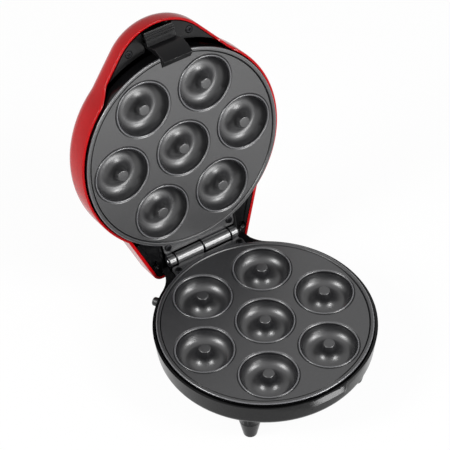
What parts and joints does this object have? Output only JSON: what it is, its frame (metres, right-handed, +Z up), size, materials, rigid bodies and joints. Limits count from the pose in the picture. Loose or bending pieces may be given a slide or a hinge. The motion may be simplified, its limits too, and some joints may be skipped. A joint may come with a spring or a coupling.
{
  "type": "donut maker",
  "caption": "Table-top electric ring cake maker with a hinged round lid, ring-shaped non-stick cavities in both plates, a front latch and four short legs",
  "frame": {"origin": "on the table, under the middle of the whole maker with its lid open", "axes": "+X to the user's right, +Y to the hinge at the rear, +Z up"},
  "size_m": [0.2036, 0.3022, 0.2845],
  "materials": {
    "black_plastic": "heat-resistant moulding, semi-gloss",
    "red_plastic": "high-gloss moulded shell",
    "latch_plastic": "satin moulding",
    "coated_aluminium": "die-cast aluminium with a dark non-stick coating",
    "bright_metal": "plain drawn steel",
    "zinc_steel": "zinc-plated steel",
    "black_steel": "screws with a black finish",
    "element_steel": "heat-darkened stainless tube",
    "aluminium_sheet": "bright pressed sheet",
    "ceramic": "glazed ceramic",
    "bakelite": "phenolic moulding",
    "soft_black": "flexible bush",
    "red_lens": "clear red lens",
    "green_lens": "clear green lens"
  },
  "bodies": {
    "base": {"base_shell": "black_plastic", "base_plate": "coated_aluminium", "base_element": "element_steel", "base_element_clamps": "zinc_steel", "thermostat_bracket": "zinc_steel", "thermostat": "bakelite", "thermal_fuse": "bright_metal", "base_reflector": "aluminium_sheet", "terminal_block": "ceramic", "cord_gland": "soft_black", "hinge_pin": "bright_metal", "base_lug_screws": "black_steel", "base_clamp_screws": "zinc_steel", "base_fixing_screws": "zinc_steel", "foot_screws": "zinc_steel", "foot_front_left": "black_plastic", "foot_front_right": "black_plastic", "foot_rear_left": "black_plastic", "foot_rear_right": "black_plastic"},
    "lid": {"lid_shell": "red_plastic", "lid_plate": "coated_aluminium", "lid_liner": "black_plastic", "lid_element": "element_steel", "lid_element_clamps": "zinc_steel", "lid_reflector": "aluminium_sheet", "lid_lug_screws": "black_steel", "lid_clamp_screws": "zinc_steel", "liner_screws": "black_steel", "hinge_cover": "black_plastic", "cover_screws": "black_steel", "latch_pin": "bright_metal", "latch_spring": "bright_metal", "power_lens": "red_lens", "ready_lens": "green_lens", "lamp_holder": "bakelite"},
    "latch": {"latch": "latch_plastic"}
  },
  "joints": [
    {"name": "lid_hinge", "type": "hinge", "parent": "base", "child": "lid", "pos_m": [0, 0.0621, 0.0585], "axis": [1, 0, 0], "range_deg": [0, 102.66]},
    {"name": "latch_pivot", "type": "hinge", "parent": "lid", "child": "latch", "pos_m": [0, 0.12788, 0.26603], "axis": [1, 0, 0], "range_deg": [-8, 0], "stiffness_Nm_per_rad": 0.05, "springref_deg": 8.59}
  ]
}
